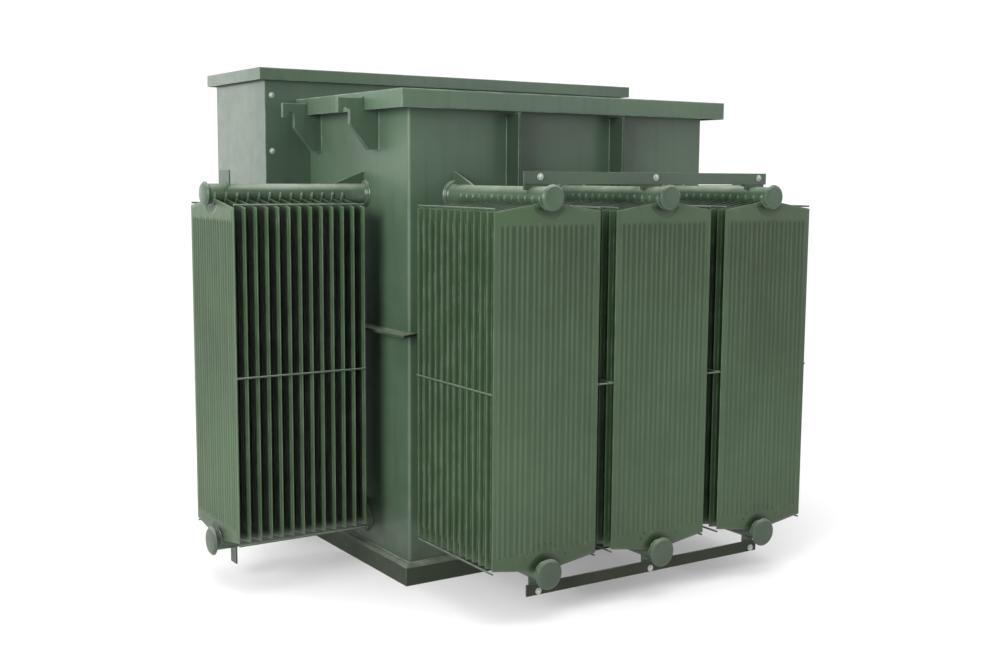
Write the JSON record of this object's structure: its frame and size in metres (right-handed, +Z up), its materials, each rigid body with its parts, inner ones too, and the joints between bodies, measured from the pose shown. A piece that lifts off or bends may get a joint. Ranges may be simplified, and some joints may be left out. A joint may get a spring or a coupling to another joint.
{
  "type": "power transformer",
  "caption": "Oil-filled power transformer: sealed steel tank with an overhanging cover, banks of panel radiators on headers, lifting lugs and a closed terminal cabinet.",
  "frame": {"origin": "centre of the base frame's underside, at floor level", "axes": "+X along the long face with the three radiators, to the right as seen from that face; +Y from that face towards the terminal cabinet; +Z up"},
  "size_m": [3.24, 2.482, 2.354],
  "materials": {
    "tank_enamel": "semi-gloss dark green enamel, slightly dusty",
    "fitting_enamel": "semi-gloss dark green enamel on flame-cut plate",
    "radiator_enamel": "semi-gloss dark green enamel on pressed sheet",
    "pipe_enamel": "glossy dark green enamel on steel pipe",
    "cabinet_enamel": "satin dark green enamel on folded sheet"
  },
  "bodies": {
    "root": {"base_frame": "tank_enamel", "cabinet_door_frame": "cabinet_enamel", "cabinet_front_wall": "cabinet_enamel", "cabinet_hood": "cabinet_enamel", "cabinet_left_door": "cabinet_enamel", "cabinet_left_wall": "cabinet_enamel", "cabinet_right_door": "cabinet_enamel", "cabinet_right_wall": "cabinet_enamel", "cover": "tank_enamel", "end_ledge_left": "fitting_enamel", "end_ledge_right": "fitting_enamel", "front_mid_ties": "pipe_enamel", "front_stiffeners": "fitting_enamel", "front_tie_bar_bottom": "pipe_enamel", "front_tie_bar_top": "pipe_enamel", "lifting_lug_left_front": "fitting_enamel", "lifting_lug_left_rear": "fitting_enamel", "lifting_lug_right_front": "fitting_enamel", "lifting_lug_right_rear": "fitting_enamel", "radiator_front_1_bottom_header": "pipe_enamel", "radiator_front_1_brackets": "pipe_enamel", "radiator_front_1_panels": "radiator_enamel", "radiator_front_1_tie_rods": "pipe_enamel", "radiator_front_1_top_header": "pipe_enamel", "radiator_front_2_bottom_header": "pipe_enamel", "radiator_front_2_brackets": "pipe_enamel", "radiator_front_2_panels": "radiator_enamel", "radiator_front_2_tie_rods": "pipe_enamel", "radiator_front_2_top_header": "pipe_enamel", "radiator_front_3_bottom_header": "pipe_enamel", "radiator_front_3_brackets": "pipe_enamel", "radiator_front_3_panels": "radiator_enamel", "radiator_front_3_tie_rods": "pipe_enamel", "radiator_front_3_top_header": "pipe_enamel", "radiator_left_bottom_header": "pipe_enamel", "radiator_left_brackets": "pipe_enamel", "radiator_left_panels": "radiator_enamel", "radiator_left_tie_rods": "pipe_enamel", "radiator_left_top_header": "pipe_enamel", "radiator_right_bottom_header": "pipe_enamel", "radiator_right_brackets": "pipe_enamel", "radiator_right_panels": "radiator_enamel", "radiator_right_tie_rods": "pipe_enamel", "radiator_right_top_header": "pipe_enamel", "tank": "tank_enamel"}
  },
  "joints": []
}
